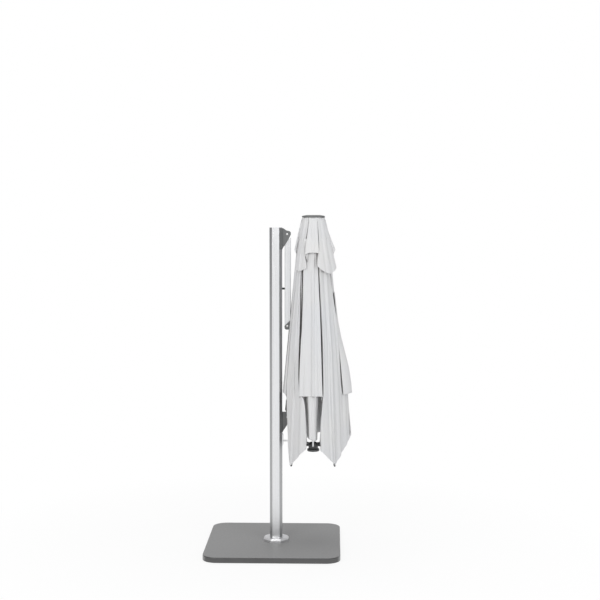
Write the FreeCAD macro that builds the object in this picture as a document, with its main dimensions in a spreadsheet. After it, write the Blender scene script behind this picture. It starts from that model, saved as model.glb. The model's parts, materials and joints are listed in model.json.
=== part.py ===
import FreeCAD, Part
import Sketcher
import math
import os

# Cantilever parasol, closed, in millimetres, +Z up.
# Origin: on the ground under the mast's axis.  +X points from the mast to the canopy.
# A mast swivels on the base, a brace is hinged at the mast head, a boom is hinged to the brace
# and stands on a slider on the mast. The boom's top carries a crown hub with eight ribs,
# and these carry eight struts, a runner and eight canopy gores.

Vector = FreeCAD.Vector
Rotation = FreeCAD.Rotation
Placement = FreeCAD.Placement

os.makedirs("parts", exist_ok=True)
doc = FreeCAD.newDocument("parasol")
sheet = doc.addObject("Spreadsheet::Sheet", "Sizes")

# Driving dimensions: alias, value in millimetres (lean and lean_boom in degrees).
# An ending in _x or _z is a place; _low, _high and _top are mostly heights or local offsets.
TABLE = [
    # base
    ("base_side", 1160), ("base_corner", 125), ("base_shift", -20), ("base_top", 50),
    ("foot_lift", 6), ("base_skin", 3), ("tray_thick", 2), ("top_round", 7),
    ("frame_wide", 44), ("frame_high", 30), ("slab_side", 470), ("slab_high", 34),
    ("slab_gap", 28), ("foot_radius", 32), ("foot_place", 430),
    ("spigot_radius", 38), ("spigot_bore", 32), ("spigot_top", 590), ("flange_radius", 92),
    ("bolt_circle", 70), ("bolt_radius", 6), ("bolt_head", 10), ("bolt_head_high", 8),
    ("bush_high", 40),
    # mast
    ("mast_wide", 107), ("mast_chamfer", 22.5), ("mast_wall", 4), ("mast_foot", 56),
    ("mast_top", 2781), ("cap_thick", 4), ("collar_wide", 216), ("collar_low", 51),
    ("collar_top", 80), ("slot_half", 7), ("slot_low", 990), ("slot_high", 2380),
    # linkage
    ("arm_x", 98), ("head_z", 2729), ("arm_len", 794), ("brace_depth", 52), ("brace_wide", 26),
    ("brace_wall", 2.5), ("pin_radius", 9), ("pin_bore", 6.5), ("boom_pin", 8),
    ("lean_boom", 5.65), ("boom_len", 1667), ("boom_depth", 50), ("boom_wide", 40),
    ("boom_wall", 3), ("play", 0.1), ("bumper_z", 2258),
    # winch
    ("crank_z", 929), ("crank_throw", 104), ("shaft_radius", 7), ("drum_radius", 20),
    ("grip_radius", 11), ("pulley_radius", 28.5), ("pulley_x", 16.5), ("pulley_z", 2690),
    ("rope_radius", 2.5),
    # crown, ribs and runner
    ("axis_x", 324), ("hinge_z", 2840), ("hinge_ring", 90), ("lean", 5.5), ("rib_mid", 1475),
    ("rib_corner", 2085), ("rib_droop", 45), ("droop_from", 1050), ("rib_joint", 974.5),
    ("rib_wide", 12), ("rib_low", 8), ("rib_high", 26), ("strut_half", 7),
    ("rivet_radius", 3), ("twin_rib", 34), ("twin_strut", 48), ("cap_radius", 99),
    ("cap_low", 2872), ("cap_high", 2892), ("runner_radius", 53), ("runner_low", 840),
    ("bell_radius", 40),
    # canopy
    ("cloth", 6), ("cloth_out", 24), ("cloth_top", 130), ("cloth_side", 16),
    ("cloth_twin", 66), ("fold_out", 72), ("stud_drop", 8.01),
]


# ------------------------------------------------------------------ sizes bound to the sheet
class Size:
    """A size: its number now, and the expression that binds it to the sheet."""

    def __init__(self, number, text):
        self.number, self.text = float(number), text

    def combine(self, other, sign, swapped=False):
        if not isinstance(other, Size):
            other = Size(other, "%.9g" % other)
        left, right = (other, self) if swapped else (self, other)
        if sign == "+":
            number = left.number + right.number
        elif sign == "-":
            number = left.number - right.number
        elif sign == "*":
            number = left.number * right.number
        else:
            number = left.number / right.number
        return Size(number, "(%s %s %s)" % (left.text, sign, right.text))

    def __add__(self, other): return self.combine(other, "+")
    def __radd__(self, other): return self.combine(other, "+", True)
    def __sub__(self, other): return self.combine(other, "-")
    def __rsub__(self, other): return self.combine(other, "-", True)
    def __mul__(self, other): return self.combine(other, "*")
    def __rmul__(self, other): return self.combine(other, "*", True)
    def __truediv__(self, other): return self.combine(other, "/")
    def __neg__(self): return self.combine(-1, "*")


class Dimensions:
    """Holds one Size for each alias of the sheet."""


dim = Dimensions()
for row, (name, value) in enumerate(TABLE, 1):
    sheet.set("A%d" % row, name)
    sheet.set("B%d" % row, "%g" % value)
    sheet.setAlias("B%d" % row, name)
    setattr(dim, name, Size(value, "Sizes." + name))
doc.recompute()


def plain(value):
    return value.number if isinstance(value, Size) else float(value)


def bind(obj, prop, value):
    """Binds a property to the sheet; a plain number is set as it is."""
    if isinstance(value, Size):
        obj.setExpression(prop, value.text)
    else:
        setattr(obj, prop, value)


# ------------------------------------------------------------------ modelling helpers
made = [0]


def next_name(prefix):
    made[0] += 1
    return "%s%03d" % (prefix, made[0])


def new(kind):
    return doc.addObject(kind, next_name("S"))


def turn(axis, degrees):
    return Rotation(Vector(*[float(axis == letter) for letter in "xyz"]), degrees)


# Rotations that lay a piece's own Z along the named axis.
ALONG = {"z": Rotation(), "x": turn("y", 90), "y": turn("x", -90)}


def place(obj, x, y, z, rotation=None):
    obj.Placement = Placement(Vector(plain(x), plain(y), plain(z)), rotation or Rotation())
    for axis, value in (("x", x), ("y", y), ("z", z)):
        if isinstance(value, Size):
            obj.setExpression("Placement.Base." + axis, value.text)
    return obj


def box(x0, x1, y0, y1, z0, z1):
    """A block between two corners."""
    block = new("Part::Box")
    bind(block, "Length", x1 - x0)
    bind(block, "Width", y1 - y0)
    bind(block, "Height", z1 - z0)
    return place(block, x0, y0, z0)


def cylinder(radius, length, x, y, z, axis="z"):
    """A cylinder that starts at the point and runs along +axis."""
    rod = new("Part::Cylinder")
    bind(rod, "Radius", radius)
    bind(rod, "Height", length)
    return place(rod, x, y, z, ALONG[axis])


def fuse(*shapes):
    union = new("Part::MultiFuse")
    union.Shapes = list(shapes)
    return union


def cut(base, *tools):
    difference = new("Part::Cut")
    difference.Base = base
    difference.Tool = tools[0] if len(tools) == 1 else fuse(*tools)
    return difference


def sketch_polygon(body, role, points):
    """A closed polygon, every corner held by two dimensions bound to the sheet."""
    sketch = body.newObject("Sketcher::SketchObject", next_name("Sk"))
    plane = [feature for feature in body.Origin.OriginFeatures if feature.Role == role][0]
    sketch.AttachmentSupport = [(plane, "")]
    sketch.MapMode = "FlatFace"
    corners = [Vector(plain(across), plain(up), 0) for across, up in points]
    total = len(corners)
    for i in range(total):
        sketch.addGeometry(Part.LineSegment(corners[i], corners[(i + 1) % total]), False)
    for i in range(total):
        sketch.addConstraint(Sketcher.Constraint("Coincident", i, 2, (i + 1) % total, 1))
    for i, point in enumerate(points):
        for kind, value in zip(("DistanceX", "DistanceY"), point):
            index = sketch.addConstraint(Sketcher.Constraint(kind, -1, 1, i, 1, plain(value)))
            if isinstance(value, Size):
                sketch.setExpression("Constraints[%d]" % index, value.text)
    return sketch


def prism(role, points, length, symmetric=True):
    """A pad of a polygon, to both sides of the plane or to its positive side only."""
    body = new("PartDesign::Body")
    sketch = sketch_polygon(body, role, points)
    pad = body.newObject("PartDesign::Pad", next_name("Pad"))
    pad.Profile = sketch
    bind(pad, "Length", length)
    if symmetric:
        # The property's name depends on the FreeCAD version.
        if hasattr(pad, "SideType"):
            pad.SideType = "Symmetric"
        else:
            pad.Midplane = True
    body.Tip = pad
    return body


def column(points, z, height):
    """A prism of a plan outline that stands at height z."""
    return place(prism("XY_Plane", points, height, symmetric=False), 0, 0, z)


def spun(points, x, y, z, axis="z"):
    """A revolution of a (radius, height) polygon about its own axis."""
    body = new("PartDesign::Body")
    sketch = sketch_polygon(body, "XZ_Plane", points)
    revolution = body.newObject("PartDesign::Revolution", next_name("Rev"))
    revolution.Profile = sketch
    revolution.ReferenceAxis = (sketch, ["V_Axis"])
    revolution.Angle = 360
    body.Tip = revolution
    return place(body, x, y, z, ALONG[axis])


def rounded(body, radius, test, kind="PartDesign::Fillet"):
    """Fillets or chamfers the edges of a body's tip that pass a test."""
    doc.recompute()
    tip = body.Tip
    edges = ["Edge%d" % i for i, edge in enumerate(tip.Shape.Edges, 1) if test(edge)]
    dressing = body.newObject(kind, next_name("F"))
    dressing.Base = (tip, edges)
    bind(dressing, "Radius" if kind.endswith("Fillet") else "Size", radius)
    body.Tip = dressing
    return body


def is_upright(edge):
    first, last = edge.Vertexes[0].Point, edge.Vertexes[-1].Point
    sideways = abs(first.x - last.x) + abs(first.y - last.y)
    return abs(first.z - last.z) > 1 and sideways < 0.01


def at_top(height):
    """A test for the edges that lie on top of a body of this height."""
    return lambda edge: edge.BoundBox.ZMin > height.number - 0.01


# ------------------------------------------------------------------ base
base_half = dim.base_side / 2
inner_half = base_half - dim.base_skin
tray_top = dim.foot_lift + dim.tray_thick
flange_z = tray_top + dim.frame_high + 2
BOLT_PLACES = [(dim.bolt_circle * math.cos(math.radians(angle)),
                dim.bolt_circle * math.sin(math.radians(angle))) for angle in (45, 135, 225, 315)]


def square(half):
    """The plan of the base, this far out from its own centre."""
    centre = dim.base_shift
    return [(centre - half, -half), (centre + half, -half),
            (centre + half, half), (centre - half, half)]


def base_cover():
    height = dim.base_top - dim.foot_lift
    shell = column(square(base_half), dim.foot_lift, height)
    rounded(shell, dim.base_corner, is_upright)
    rounded(shell, dim.top_round, at_top(height))
    # The hollow runs 5 mm out below the shell.
    hollow = column(square(inner_half), dim.foot_lift - 5, height - dim.base_skin + 5)
    rounded(hollow, dim.base_corner - dim.base_skin, is_upright)
    return cut(shell, hollow, cylinder(dim.flange_radius + 2, 60, 0, 0, 20))


def base_tray():
    tray = column(square(inner_half - 1), dim.foot_lift, dim.tray_thick)
    return rounded(tray, dim.base_corner - dim.base_skin - 1, is_upright)


def base_frame():
    """Two crossed beams and a disc under the spigot's flange."""
    half, reach, centre = dim.frame_wide / 2, base_half - 40, dim.base_shift
    top = tray_top + dim.frame_high
    return fuse(box(centre - reach, centre + reach, -half, half, tray_top, top),
                box(-half, half, -reach, reach, tray_top, top),
                cylinder(dim.flange_radius - 4, dim.frame_high + 2, 0, 0, tray_top))


def ballast_slabs():
    """Four square slabs, each with its inner corner cut round the flange."""
    gap, side = dim.slab_gap, dim.slab_side
    low = tray_top + 0.5
    slabs = []
    for x0 in (dim.base_shift * 2 - gap - side + 20, gap):
        for y0 in (-gap - side, gap):
            slab = box(x0, x0 + side, y0, y0 + side, low, low + dim.slab_high - 1)
            slabs.append(cut(slab, cylinder(dim.flange_radius + 6, 80, 0, 0, 0)))
    return fuse(*slabs)


def base_feet():
    places = [(dim.base_shift + side_x * dim.foot_place, side_y * dim.foot_place)
              for side_x in (-1, 1) for side_y in (-1, 1)] + [(0, 0)]
    return fuse(*[cylinder(dim.foot_radius, dim.foot_lift, x, y, 0) for x, y in places])


def mast_spigot():
    bore, radius, height = dim.spigot_bore, dim.spigot_radius, dim.spigot_top - flange_z
    spigot = spun([(bore, 0), (dim.flange_radius, 0), (dim.flange_radius, 9), (radius + 4, 9),
                   (radius, 20), (radius, height), (bore, height)], 0, 0, flange_z)
    return cut(spigot, *[cylinder(dim.bolt_radius + 0.2, 20, x, y, flange_z - 5)
                         for x, y in BOLT_PLACES])


def spigot_bolts():
    head_high = dim.bolt_head_high - 3
    return fuse(*[fuse(cylinder(dim.bolt_radius, 9, x, y, flange_z),
                       cylinder(dim.bolt_head, head_high, x, y, flange_z + 9))
                  for x, y in BOLT_PLACES])


# ------------------------------------------------------------------ mast
mast_half = dim.mast_wide / 2
bore_half = mast_half - dim.mast_wall
# Setting an octagon in by a wall shortens its chamfer by about 2 - sqrt(2) of the wall.
bore_chamfer = dim.mast_chamfer - dim.mast_wall * 0.586


def octagon(half, chamfer):
    """A square plan with its corners cut off."""
    return [(half, chamfer - half), (half, half - chamfer),
            (half - chamfer, half), (chamfer - half, half),
            (-half, half - chamfer), (-half, chamfer - half),
            (chamfer - half, -half), (half - chamfer, -half)]


def mast_profile():
    length = dim.mast_top - dim.mast_foot
    outer = column(octagon(mast_half, dim.mast_chamfer), dim.mast_foot, length)
    bore = column(octagon(bore_half, bore_chamfer), dim.mast_foot - 10, length + 20)
    slot = box(mast_half - 8, mast_half + 5, -dim.slot_half, dim.slot_half,
               dim.slot_low, dim.slot_high)
    shaft_hole = cylinder(dim.shaft_radius + 4, 20, mast_half - 10, 0, dim.crank_z, "x")
    return cut(outer, bore, slot, shaft_hole)


def mast_cap():
    plug_high = 12
    return fuse(column(octagon(mast_half, dim.mast_chamfer), dim.mast_top, dim.cap_thick),
                column(octagon(bore_half - 1, bore_chamfer), dim.mast_top - plug_high, plug_high))


def foot_collar():
    """A regular octagon round the mast's foot, chamfered at the top."""
    half, height = dim.collar_wide / 2, dim.collar_top - dim.collar_low
    collar = column(octagon(half, half * 0.5858), dim.collar_low, height)
    rounded(collar, 13, at_top(height), "PartDesign::Chamfer")
    through = column(octagon(mast_half + 0.3, dim.mast_chamfer), dim.mast_foot - 1, 60)
    return cut(collar, through, cylinder(mast_half - 2, 30, 0, 0, 40),
               cylinder(dim.flange_radius + 3, 10, 0, 0, 48))


def swivel_bushes():
    """Two rings between the spigot and the mast's bore."""
    inner, outer, height = dim.spigot_radius + 0.1, bore_half - 0.2, dim.bush_high
    return fuse(*[spun([(inner, 0), (outer, 0), (outer, height), (inner, height)], 0, 0, z)
                  for z in (dim.mast_foot + 24, dim.spigot_top - height - 6)])


def shoe(gap, thick, low, high):
    """A shoe that hugs the mast's +X face and its two chamfers."""
    face = mast_half + gap
    flat = mast_half - dim.mast_chamfer + gap * 0.4
    # The thickness measured along the flat's edge, and along X and Y across a chamfer.
    edge, slant = thick * 0.41, thick * 0.71
    return column([(face, -flat), (face, flat), (flat, face), (flat + slant, face + slant),
                   (face + thick, flat + edge), (face + thick, -flat - edge),
                   (flat + slant, -face - slant), (flat, -face)], low, high - low)


# ------------------------------------------------------------------ mast head
arm_x, head_z = dim.arm_x, dim.head_z


def hollow_pin(z):
    """A hollow pin across the brace's line."""
    return cut(cylinder(dim.pin_radius, 54, arm_x, -27, z, "y"),
               cylinder(dim.pin_bore, 60, arm_x, -30, z, "y"))


def head_bracket():
    low, high = head_z - 132, dim.mast_top - 1
    cheek = prism("XZ_Plane", [
        (mast_half + 0.2, high), (mast_half + 14, dim.mast_top - 4), (arm_x - 8, head_z + 31),
        (arm_x + 20, head_z + 25), (arm_x + 31, head_z + 13), (arm_x + 30, head_z - 6),
        (arm_x + 15, head_z - 38), (arm_x - 14, head_z - 86), (arm_x - 31, head_z - 109),
        (mast_half + 0.2, low)], 50)
    solid = fuse(cheek, shoe(0.2, 3, low, high))
    half = dim.brace_wide / 2 + 1
    brace_room = box(mast_half + 14, arm_x + 60, -half, half, head_z - 140, head_z + 17)
    return cut(solid, brace_room, cylinder(dim.pin_radius, 80, arm_x, -40, head_z, "y"))


def head_pin():
    return hollow_pin(head_z)


def arm_bumper():
    return box(mast_half + 0.2, arm_x - 22, -10, 10, dim.bumper_z - 8, dim.bumper_z + 8)


# ------------------------------------------------------------------ winch, pulley and rope
crank_z = dim.crank_z
crank_x = arm_x + 8
handle_z = crank_z - dim.crank_throw


def winch_housing():
    face = mast_half + 0.2
    house = prism("XZ_Plane", [
        (face, crank_z - 42), (mast_half + 5, crank_z - 42), (mast_half + 9, crank_z - 30),
        (mast_half + 9, crank_z + 46), (mast_half + 5, crank_z + 60), (face, crank_z + 60)], 56)
    return cut(house, cylinder(dim.shaft_radius + dim.play, 30, mast_half - 5, 0, crank_z, "x"))


def crank_shaft():
    return cylinder(dim.shaft_radius, arm_x + 36, -20, 0, crank_z, "x")


def winch_drum():
    bore, core = dim.shaft_radius, dim.drum_radius
    rim = core + 8
    return spun([(bore, 0), (rim, 0), (rim, 3), (core, 3), (core, 37), (rim, 37), (rim, 40),
                 (bore, 40)], -18, 0, crank_z, axis="x")


def crank_arm():
    """A tapered plate with the spindle of the grip at its lower end."""
    plate = prism("YZ_Plane", [(-10, crank_z + 12), (-7, handle_z - 8), (7, handle_z - 8),
                               (10, crank_z + 12)], 8, symmetric=False)
    place(plate, crank_x, 0, 0)
    rounded(plate, 5, lambda edge: edge.BoundBox.XLength > 7 and edge.BoundBox.YLength < 0.1)
    return cut(fuse(plate, cylinder(4, 74, crank_x + 8, 0, handle_z, "x")),
               cylinder(dim.shaft_radius, 20, crank_x - 5, 0, crank_z, "x"))


def crank_grip():
    bore, radius = 4.1, dim.grip_radius
    return spun([(bore, 0), (radius - 3, 0), (radius - 1, 6), (radius - 2, 18), (radius, 42),
                 (radius, 60), (radius - 3, 68), (bore, 68)], crank_x + 8.6, 0, handle_z, axis="x")


def head_pulley():
    bore, rim = 5.1, dim.pulley_radius
    return spun([(bore, -9), (rim, -9), (rim, -6), (rim - 3, -3), (rim - 3, 3), (rim, 6),
                 (rim, 9), (bore, 9)], dim.pulley_x, 0, dim.pulley_z, axis="y")


def pulley_axle():
    return cylinder(5, bore_half * 2 - 1, dim.pulley_x, -bore_half + 0.5, dim.pulley_z, "y")


def lift_rope():
    """The rope starts beside the drum and leans back to the pulley's plane."""
    beside = dim.drum_radius + dim.rope_radius + 0.3
    length = dim.pulley_z - crank_z - 20
    rope = cylinder(dim.rope_radius, length, dim.pulley_x - dim.pulley_radius, beside, crank_z)
    lean = math.degrees(math.atan2(beside.number, length.number))
    rope.Placement = Placement(rope.Placement.Base, turn("x", lean))
    return rope


# ------------------------------------------------------------------ brace, boom and slider
knee_z = head_z - dim.arm_len
slider_z = knee_z - dim.arm_len
brace_half = dim.brace_wide / 2
brace_x0 = arm_x - 21
brace_x1 = brace_x0 + dim.brace_depth
boom_x = dim.boom_depth / 2
boom_y = dim.boom_wide / 2
boom_len = dim.boom_len


def brace_inside(fit, low, high):
    """A block that fills the brace's bore, less a fit all round."""
    wall = dim.brace_wall + fit
    return box(brace_x0 + wall, brace_x1 - wall, -brace_half + wall, brace_half - wall, low, high)


def brace_profile():
    tube = prism("XZ_Plane", [(brace_x0, knee_z + 1), (brace_x1, knee_z + 47),
                              (brace_x1, head_z - 33), (brace_x0, head_z - 72)], dim.brace_wide)
    rounded(tube, 4.5, lambda edge: edge.BoundBox.ZLength > 500)
    return cut(tube, brace_inside(0, knee_z - 20, head_z + 20))


def brace_end(pivot_z, plug_low, plug_high, neck_end):
    """A plug inside the tube, a neck and a round eye; the heights count from the pivot."""
    plug = brace_inside(0.05, pivot_z + plug_low, pivot_z + plug_high)
    wide = dim.brace_wide - 2 * dim.brace_wall - 0.2
    far = pivot_z + neck_end
    neck = prism("XZ_Plane", [(arm_x - 13, pivot_z), (arm_x + 11, pivot_z),
                              (arm_x + 12, far), (arm_x - 13, far)], wide)
    return cut(fuse(plug, neck, cylinder(15, wide, arm_x, -wide / 2, pivot_z, "y")),
               cylinder(dim.pin_radius + dim.play, 60, arm_x, -30, pivot_z, "y"))


def brace_ends():
    return fuse(brace_end(knee_z, plug_low=60, plug_high=110, neck_end=61),
                brace_end(head_z, plug_low=-130, plug_high=-80, neck_end=-81))


def along_boom(obj):
    """Sets a piece drawn upright at the boom's foot pivot onto the boom's line."""
    if obj.TypeId == "Part::Box":
        # A box keeps its own place inside a compound.
        compound = new("Part::Compound")
        compound.Links = [obj]
        obj = compound
    return place(obj, arm_x, 0, slider_z, turn("y", dim.lean_boom.number))


def boom_profile():
    x, y, wall = boom_x, boom_y, dim.boom_wall
    return along_boom(cut(box(-x, x, -y, y, 150, boom_len - 60),
                          box(-x + wall, x - wall, -y + wall, y - wall, 100, boom_len)))


def boom_end(outline, tongue_low, tongue_high, pivot):
    """A block that closes the boom, with a tongue and a round eye."""
    end = fuse(prism("XZ_Plane", outline, dim.boom_wide),
               box(-14, 14, -13, 13, tongue_low, tongue_high),
               cylinder(14, 26, 0, -13, pivot, "y"))
    return along_boom(cut(end, cylinder(dim.boom_pin + dim.play, 60, 0, -30, pivot, "y")))


def boom_foot():
    return boom_end([(-boom_x, 60), (-boom_x + 12, 46), (boom_x - 8, 46), (boom_x, 60),
                     (boom_x, 149.5), (-boom_x, 149.5)], 0, 60, pivot=0)


def boom_head():
    low, shoulder, top = boom_len - 59.5, boom_len - 48, boom_len - 40
    return boom_end([(-boom_x, low), (boom_x, low), (boom_x, shoulder), (boom_x - 10, top),
                     (-boom_x + 10, top), (-boom_x, shoulder)],
                    boom_len - 50, boom_len, pivot=boom_len)


def boom_ear():
    """The bracket round the boom that is pinned to the brace's lower end."""
    ear = prism("XZ_Plane", [
        (arm_x - 24, knee_z - 6), (arm_x - 21, knee_z - 22), (arm_x - 12, knee_z - 31),
        (arm_x + 14, knee_z - 31), (arm_x + 118, knee_z - 42), (arm_x + 118, knee_z + 74),
        (arm_x + 50, knee_z + 70), (arm_x + 27, knee_z + 50), (arm_x - 23, knee_z + 0)], 52)
    x, y, slot = boom_x + 0.05, boom_y + 0.05, brace_half + 0.8
    boom_room = along_boom(box(-x, x, -y, y, 500, 1200))
    brace_slot = box(arm_x - 60, arm_x + 48, -slot, slot, knee_z - 60, knee_z + 120)
    beyond = along_boom(box(boom_x + 5, boom_x + 200, -60, 60, 500, 1200))
    return cut(ear, boom_room, brace_slot, beyond,
               cylinder(dim.pin_radius, 80, arm_x, -40, knee_z, "y"))


def ear_pin():
    return hollow_pin(knee_z)


def slider_carriage():
    face, low, high = mast_half + 0.5, slider_z - 133, slider_z + 38
    carriage = prism("XZ_Plane", [
        (face, high), (arm_x - 2, high), (arm_x + 15, slider_z + 20), (arm_x + 15, slider_z - 16),
        (arm_x - 2, slider_z - 71), (mast_half + 2, low), (face, low)], 60)
    tongue_room = box(mast_half + 22, arm_x + 60, -14, 14, slider_z - 26, slider_z + 60)
    return cut(fuse(carriage, shoe(0.5, 5, low, high)), tongue_room,
               cylinder(dim.boom_pin, 90, arm_x, -45, slider_z, "y"))


def slider_pin():
    return cylinder(dim.boom_pin, 64, arm_x, -32, slider_z, "y")


def slider_key():
    """A key in the mast's slot and a wider block inside the mast."""
    low, high = slider_z - 110, slider_z + 20
    return fuse(box(mast_half - 10, mast_half + 0.4, -6, 6, low, high),
                box(bore_half - 12, bore_half - 1, -16, 16, low, high))


# ------------------------------------------------------------------ crown hub, cap and runner
RIBS = 8
PITCH = 360 / RIBS
TWIN = 4  # the rib and strut on the mast's side are double
axis_x, hinge_z, hinge_ring = dim.axis_x, dim.hinge_z, dim.hinge_ring
rivet, rib_half, joint = dim.rivet_radius, dim.rib_wide / 2, dim.rib_joint
lean = math.radians(dim.lean.number)
runner_hinge_z = hinge_z - 2 * joint * math.cos(lean)
boom_lean = math.radians(dim.lean_boom.number)
boom_top_x = arm_x + boom_len * math.sin(boom_lean)
boom_top_z = slider_z + boom_len * math.cos(boom_lean)


def turned_to_rib(obj, i, z):
    """Moves a piece drawn about the canopy's axis, at +X, to rib i and height z."""
    for axis in "xyz":
        obj.setExpression("Placement.Base." + axis, None)
    ring = Placement(Vector(axis_x.number, 0, z.number), turn("z", PITCH * i))
    obj.Placement = ring * obj.Placement
    return obj


def hinge_ears(z, twin, inner_radius):
    """Eight pairs of ears with their rivets, at the hinge ring; the twin has two rivets."""
    pieces = []
    for i in range(RIBS):
        if i == TWIN:
            ears = [(twin - rib_half - 4.6, twin - rib_half - 0.4),
                    (-twin + rib_half + 0.4, -twin + rib_half + 4.6)]
            pins = [(start, dim.rib_wide + 4) for start in (twin - rib_half - 4, -twin - rib_half)]
        else:
            ears = [(rib_half + 0.4, rib_half + 3.4), (-rib_half - 3.4, -rib_half - 0.4)]
            pins = [(-rib_half - 3.4, dim.rib_wide + 6.8)]
        for y0, y1 in ears:
            ear = box(inner_radius, hinge_ring + 7, y0, y1, -7, 7)
            pieces.append(turned_to_rib(ear, i, z))
        for y0, length in pins:
            pin = cylinder(rivet, length, hinge_ring, y0, 0, "y")
            pieces.append(turned_to_rib(pin, i, z))
    return pieces


def hub_casting():
    x, z = boom_top_x, boom_top_z
    boss = spun([(14, -16), (46, -16), (52, -8), (52, 14), (40, 26), (14, 26)],
                axis_x, 0, hinge_z)
    cheeks = prism("XZ_Plane", [
        (x - 15, z - 8), (x - 8, z - 15), (x + 12, z - 15), (axis_x - 20, z + 22),
        (axis_x - 20, hinge_z + 10), (x - 4, hinge_z + 10), (x - 15, z + 12)], 42)
    cheeks = cut(cheeks, box(x - 60, axis_x - 44, -14, 14, z - 60, hinge_z + 60))
    hub = fuse(boss, cheeks, *hinge_ears(hinge_z, dim.twin_rib, 40))
    swing_room = cylinder(26, 28, x, -14, z, "y")
    return cut(hub, swing_room, cylinder(dim.boom_pin, 90, x, -45, z, "y"))


def hub_pin():
    return cylinder(dim.boom_pin, 46, boom_top_x, -23, boom_top_z, "y")


def crown_cap():
    radius, height = dim.cap_radius, dim.cap_high - dim.cap_low
    crown = spun([(0, 0), (radius - 4, 0), (radius, 4), (radius, 10), (radius - 5, 14),
                  (radius - 40, height), (0, height)], axis_x, 0, dim.cap_low)
    return fuse(crown, cylinder(10, dim.cap_low - hinge_z - 26, axis_x, 0, hinge_z + 26))


def runner():
    disc, neck = dim.runner_radius, dim.bell_radius
    bell = spun([(0, 0), (disc - 3, 0), (disc, 3), (disc, 17), (disc - 3, 20), (neck, 21),
                 (neck + 2, 40), (neck + 2, 70), (neck - 14, 78), (0, 78)],
                axis_x, 0, dim.runner_low)
    return fuse(bell, *hinge_ears(runner_hinge_z, dim.twin_strut, 30))


# ------------------------------------------------------------------ ribs and struts
rib_in, rib_out = dim.rib_low, dim.rib_high


def on_ring(obj, i, radius, z, tilt):
    """Puts a hanging piece on the line of rib i, its local +X outward, tilted by degrees."""
    angle = math.radians(PITCH * i)
    base = Vector(axis_x.number + radius * math.cos(angle), radius * math.sin(angle), z)
    obj.Placement = Placement(base, turn("z", PITCH * i) * turn("y", tilt))
    return obj


def on_hinge(obj, i):
    """Hangs a piece from the hub's hinge i, leaning outward as it goes down."""
    return on_ring(obj, i, hinge_ring.number, hinge_z.number, -dim.lean.number)


def rib_bar(length, y, droop=0):
    """One rib, hinged at its origin, hanging down; its bar stands outside the line of its
    pivots. A droop bends it gently inwards below its strut joint."""
    start = dim.droop_from
    bar = prism("XZ_Plane", [
        (rib_in, -17), (14, -17), (rib_out, -90), (rib_out, -start), (rib_out - droop, -length),
        (rib_in - droop, -length), (rib_in, -start)], dim.rib_wide)
    place(bar, 0, y, 0)
    tongue = fuse(box(-6, rib_in + 4, y - rib_half, y + rib_half, -26, -3),
                  cylinder(7, dim.rib_wide, 0, y - rib_half, 0, "y"))
    tip = box(rib_in + 3 - droop, rib_out - 3 - droop, y - rib_half + 2, y + rib_half - 2,
              -length - 12, -length + 1)
    return [bar, tongue, tip]


def stud():
    """The stud near a rib's head that holds the gore's eyelet."""
    return [cylinder(rivet, 4.4, 10, 0, -dim.stud_drop, "x"),
            cylinder(5, 1.2, 14.2, 0, -dim.stud_drop, "x")]


def single_rib(length, droop):
    ears = [box(-7, rib_out - 4, y0, y0 + 3, -joint - 8, -joint + 8)
            for y0 in (rib_half - 0.3, -rib_half - 2.7)]
    strut_room = box(-10, rib_in - 0.01, -rib_half - 0.3, rib_half + 0.3,
                     -joint - 30, -joint + 30)
    body = cut(fuse(*rib_bar(length, 0, droop), *ears),
               cylinder(rivet + dim.play, 60, 0, -30, 0, "y"), strut_room)
    pin = cylinder(rivet, dim.rib_wide + 5, 0, -rib_half - 2.5, -joint, "y")
    return fuse(body, pin, *stud())


def twin_rib(length):
    """Two bars side by side, tied across, with the strut rivets on their outer sides."""
    twin = dim.twin_rib
    half = twin + rib_half
    pieces = []
    for side in (1, -1):
        y = twin * side
        pieces += rib_bar(length, y)
        pieces.append(box(-5, rib_out - 4, y - rib_half, y + rib_half, -joint - 6, -joint + 6))
        start = y - rib_half if side > 0 else -dim.twin_strut - rib_half
        pin_length = dim.twin_strut - twin + 2 * rib_half
        pieces.append(cylinder(rivet, pin_length, 0, start, -joint, "y"))
    for down in (240, 560):
        pieces.append(box(rib_out, rib_out + 3, -half, half, -down - 12, -down + 12))
    pieces.append(box(rib_out - 6, rib_out, -half, half, -length - 8, -length))
    pieces.append(box(9.8, 12, -twin, twin, -13, -3))
    return cut(fuse(*pieces, *stud()), cylinder(rivet + dim.play, 120, 0, -60, 0, "y"))


def rib(i):
    """Even ribs run to the middles of the canopy's sides, odd ones to its corners."""
    if i == TWIN:
        return on_hinge(twin_rib(dim.rib_mid), i)
    if i % 2:
        return on_hinge(single_rib(dim.rib_corner, dim.rib_droop), i)
    return on_hinge(single_rib(dim.rib_mid, 0), i)


def strut_bar(y):
    half, y0 = dim.strut_half, y - rib_half
    return fuse(box(-half, half, y0, y + rib_half, -joint, 0),
                cylinder(half, dim.rib_wide, 0, y0, 0, "y"),
                cylinder(half, dim.rib_wide, 0, y0, -joint, "y"))


def strut(i):
    """A strut from the rib's joint down and inward to the runner."""
    if i == TWIN:
        bars = fuse(strut_bar(dim.twin_strut), strut_bar(-dim.twin_strut))
    else:
        bars = strut_bar(0)
    bored = cut(bars, *[cylinder(rivet + dim.play, 140, 0, -70, z, "y") for z in (0, -joint)])
    return on_ring(bored, i, hinge_ring.number + joint.number * math.sin(lean),
                   hinge_z.number - joint.number * math.cos(lean), dim.lean.number)


# ------------------------------------------------------------------ canopy gores
# Cloth panels between neighbouring ribs; each is a plain thin solid with a slanted hem,
# and a strap whose eyelet sits on the stud at the head of its first rib.
half_pitch = math.radians(PITCH / 2)
panel_lean = math.degrees(math.atan(math.tan(lean) * math.cos(half_pitch)))
HEM = 0.985  # where the hem crosses a rib, as a part of the rib's length


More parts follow.
